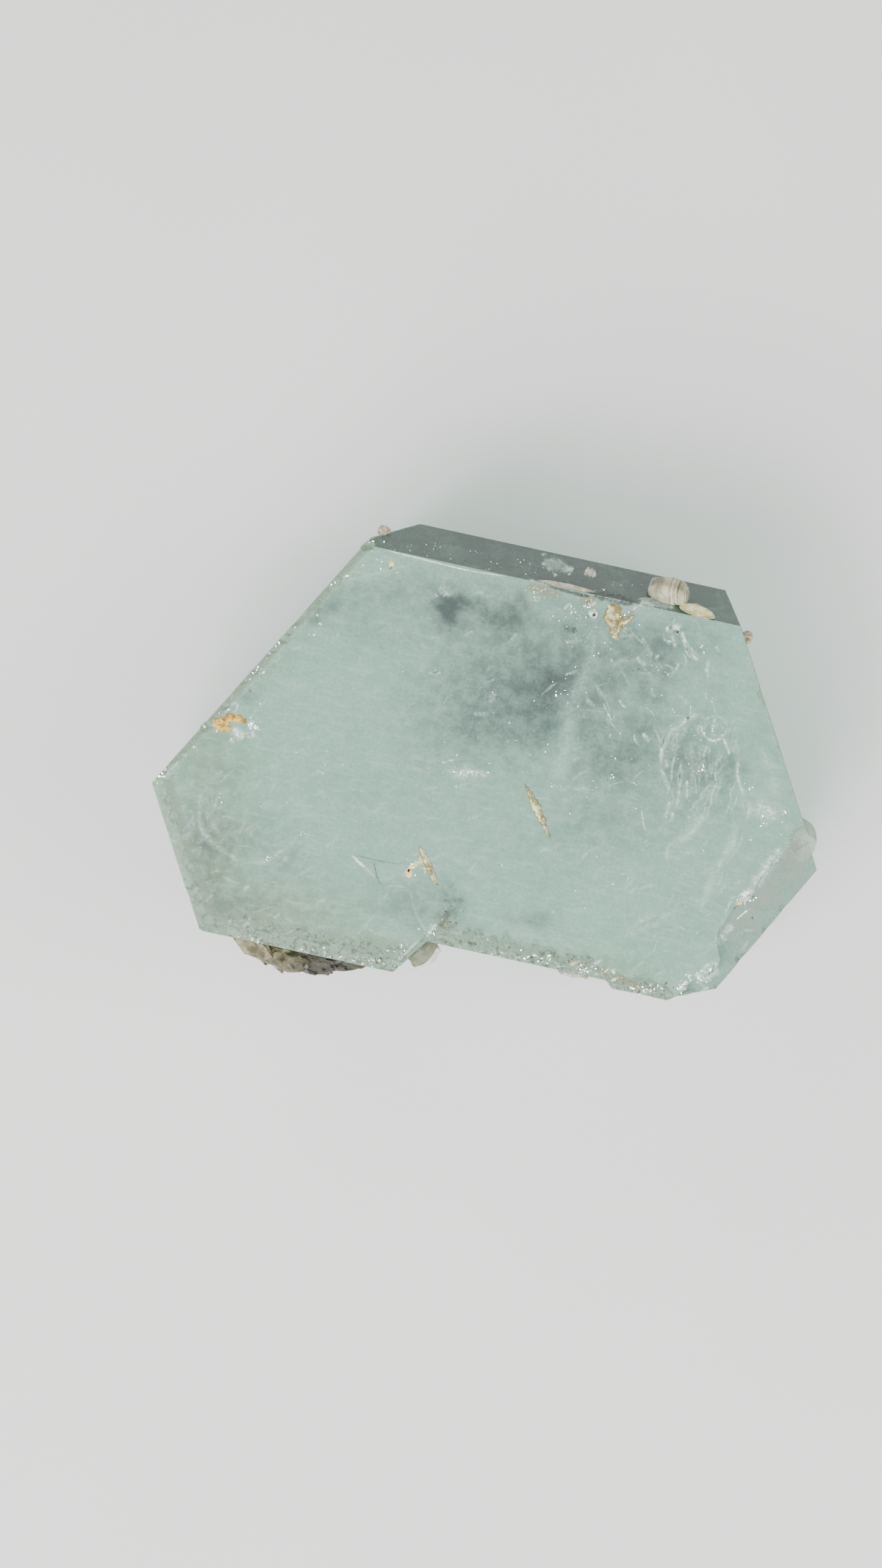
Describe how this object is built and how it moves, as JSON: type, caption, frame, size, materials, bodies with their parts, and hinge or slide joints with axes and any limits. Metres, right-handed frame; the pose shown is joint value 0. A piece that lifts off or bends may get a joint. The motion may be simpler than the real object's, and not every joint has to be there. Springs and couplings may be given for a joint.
{
  "type": "aquamarine crystal",
  "caption": "Short, wide aquamarine crystal with a flat six-sided end, a bevelled side and a broken base, with mica and feldspar grown on and into it.",
  "frame": {"origin": "middle of the rectangle that the whole specimen fills seen from above, at the level of the broken base that it lies on", "axes": "+Z along the crystal's c axis, out of its large flat end; +X along its longest side; +Y out of the bevelled north side"},
  "size_m": [0.0652, 0.0465, 0.0265],
  "materials": {
    "aquamarine": "glassy crystal faces, frosted along the rims, with cloudy veils inside",
    "muscovite": "pearly brown-grey mica in thin sheets",
    "iron_stained_feldspar": "rough, stained orange by iron",
    "feldspar": "rough, tan"
  },
  "bodies": {
    "root": {"aquamarine_crystal": "aquamarine", "mica_wedge_north": "muscovite", "mica_blade_centre": "muscovite", "mica_blade_south": "muscovite", "mica_book_north": "muscovite", "mica_blade_rim": "muscovite", "mica_sliver_rim": "muscovite", "mica_plate_notch": "muscovite", "mica_cluster_south": "muscovite", "mica_sliver_south": "muscovite", "feldspar_grain_west": "iron_stained_feldspar", "feldspar_grain_corner": "feldspar", "feldspar_grain_east": "feldspar"}
  },
  "joints": []
}
